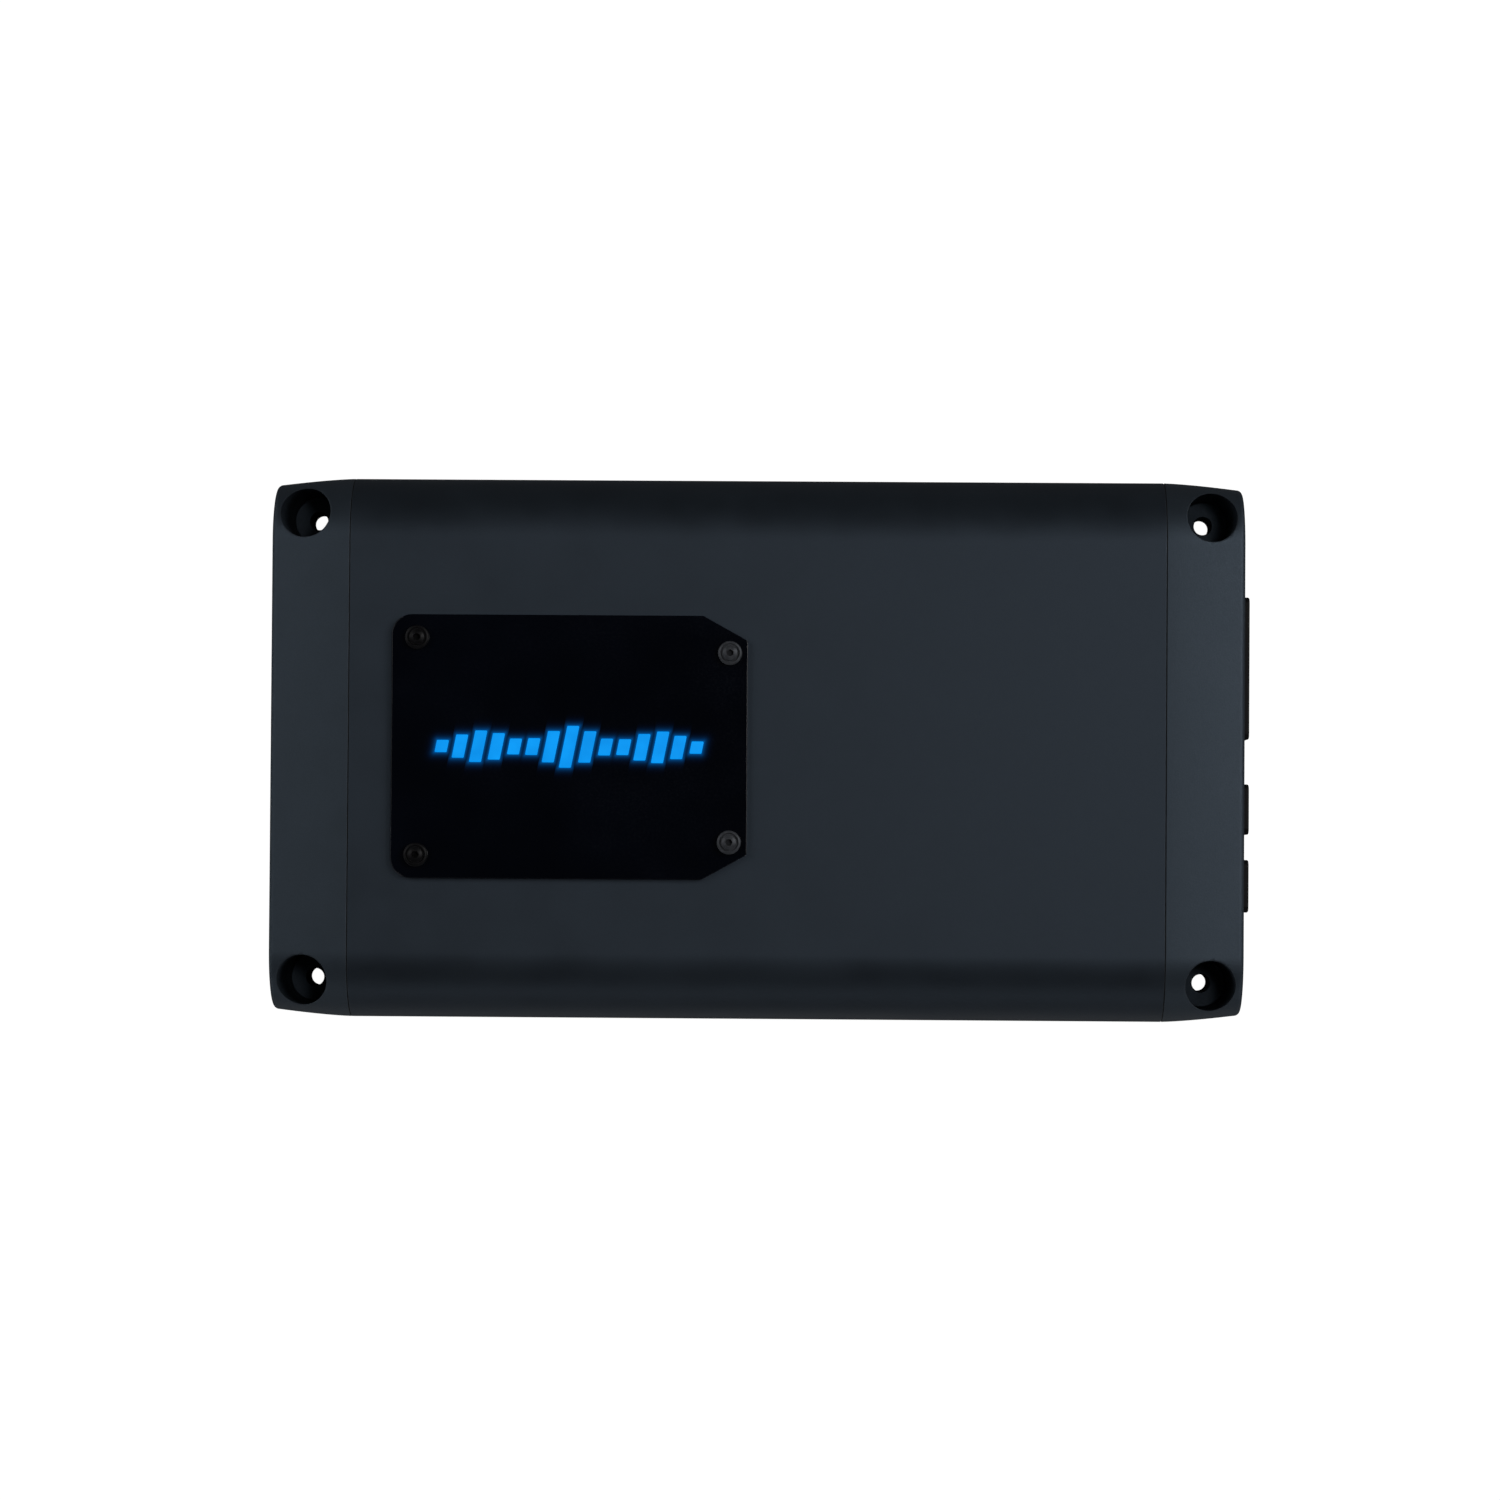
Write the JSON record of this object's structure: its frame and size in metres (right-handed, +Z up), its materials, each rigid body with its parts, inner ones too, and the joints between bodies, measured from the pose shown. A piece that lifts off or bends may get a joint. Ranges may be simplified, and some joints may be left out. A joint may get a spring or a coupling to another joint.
{
  "type": "car amplifier",
  "caption": "Compact screw-down car audio amplifier: finless extruded housing, two end caps, lit badge plate, recessed dials and switches, plug-in connectors.",
  "frame": {"origin": "centre of the part's outline, connectors included, on the plane of the feet", "axes": "+X along the length from the control end to the connector end, +Y across, +Z up out of the badge"},
  "size_m": [0.2222, 0.1228, 0.0488],
  "materials": {
    "anodised_body": "satin graphite anodised, fine bead-blasted grain",
    "cast_cap": "satin graphite coat over fine casting",
    "gasket_rubber": "matte",
    "badge_acrylic": "mirror-gloss black with a bevelled edge",
    "emblem_light": "frosted, lit blue from below",
    "badge_screw_metal": "black oxide, light wear on the rims",
    "case_screw_metal": "black zinc",
    "bottom_steel": "fine-textured black powder coat",
    "panel_black": "matte with printed pale ticks",
    "knob_plastic": "satin moulded",
    "lever_plastic": "satin moulded",
    "status_light_blue": "clear lens lit blue",
    "status_light_red": "clear lens, unlit red",
    "connector_plastic": "fine moulded grain",
    "contact_brass": "bright plated",
    "component_black": "moulded",
    "board_green": "solder mask",
    "capacitor_sleeve": "shrink sleeve",
    "copper_winding": "enamelled copper wire",
    "clamp_steel": "zinc plated"
  },
  "bodies": {
    "housing": {"heatsink_body": "anodised_body", "left_end_cap": "cast_cap", "right_end_cap": "cast_cap", "left_gasket": "gasket_rubber", "right_gasket": "gasket_rubber", "badge_plate": "badge_acrylic", "badge_light_guide": "emblem_light", "badge_screw_1": "badge_screw_metal", "badge_screw_2": "badge_screw_metal", "badge_screw_3": "badge_screw_metal", "badge_screw_4": "badge_screw_metal", "bottom_plate_screw_1": "case_screw_metal", "bottom_plate_screw_2": "case_screw_metal", "bottom_plate_screw_3": "case_screw_metal", "bottom_plate_screw_4": "case_screw_metal", "left_cap_screw_1": "case_screw_metal", "left_cap_screw_2": "case_screw_metal", "left_cap_screw_3": "case_screw_metal", "left_cap_screw_4": "case_screw_metal", "right_cap_screw_1": "case_screw_metal", "right_cap_screw_2": "case_screw_metal", "right_cap_screw_3": "case_screw_metal", "right_cap_screw_4": "case_screw_metal", "bottom_plate": "bottom_steel", "control_panel": "panel_black", "power_light_pipe": "status_light_blue", "protect_light_pipe": "status_light_red", "power_connector": "connector_plastic", "signal_connector": "connector_plastic", "remote_connector": "connector_plastic", "power_contacts": "contact_brass", "signal_contacts": "contact_brass", "remote_contacts": "contact_brass", "potentiometer_1": "component_black", "potentiometer_2": "component_black", "potentiometer_3": "component_black", "potentiometer_4": "component_black", "slide_switch_body_1": "component_black", "slide_switch_body_2": "component_black", "power_transistor_1": "component_black", "power_transistor_2": "component_black", "power_transistor_3": "component_black", "power_transistor_4": "component_black", "main_circuit_board": "board_green", "badge_led_board": "board_green", "filter_capacitor_1": "capacitor_sleeve", "filter_capacitor_2": "capacitor_sleeve", "filter_capacitor_3": "capacitor_sleeve", "filter_capacitor_4": "capacitor_sleeve", "power_transformer": "copper_winding", "output_choke_1": "copper_winding", "output_choke_2": "copper_winding", "transistor_clamp_1": "clamp_steel", "transistor_clamp_2": "clamp_steel"},
    "control_knob_1": {"control_knob_1": "knob_plastic"},
    "control_knob_2": {"control_knob_2": "knob_plastic"},
    "control_knob_3": {"control_knob_3": "knob_plastic"},
    "control_knob_4": {"control_knob_4": "knob_plastic"},
    "slide_switch_lever_1": {"slide_switch_lever_1": "lever_plastic"},
    "slide_switch_lever_2": {"slide_switch_lever_2": "lever_plastic"}
  },
  "joints": [
    {"name": "control_knob_1_turn", "type": "hinge", "parent": "housing", "child": "control_knob_1", "pos_m": [-0.10185, 0.0165, 0.028], "axis": [1, 0, 0], "range_deg": [-140, 140]},
    {"name": "control_knob_2_turn", "type": "hinge", "parent": "housing", "child": "control_knob_2", "pos_m": [-0.10185, 0.004, 0.028], "axis": [1, 0, 0], "range_deg": [-140, 140]},
    {"name": "control_knob_3_turn", "type": "hinge", "parent": "housing", "child": "control_knob_3", "pos_m": [-0.10185, -0.0085, 0.028], "axis": [1, 0, 0], "range_deg": [-140, 140]},
    {"name": "control_knob_4_turn", "type": "hinge", "parent": "housing", "child": "control_knob_4", "pos_m": [-0.10185, -0.021, 0.028], "axis": [1, 0, 0], "range_deg": [-140, 140]},
    {"name": "slide_switch_1_travel", "type": "slide", "parent": "housing", "child": "slide_switch_lever_1", "axis": [0, 1, 0], "range_m": [-0.002, 0.002]},
    {"name": "slide_switch_2_travel", "type": "slide", "parent": "housing", "child": "slide_switch_lever_2", "axis": [0, 1, 0], "range_m": [0, 0.003]}
  ]
}
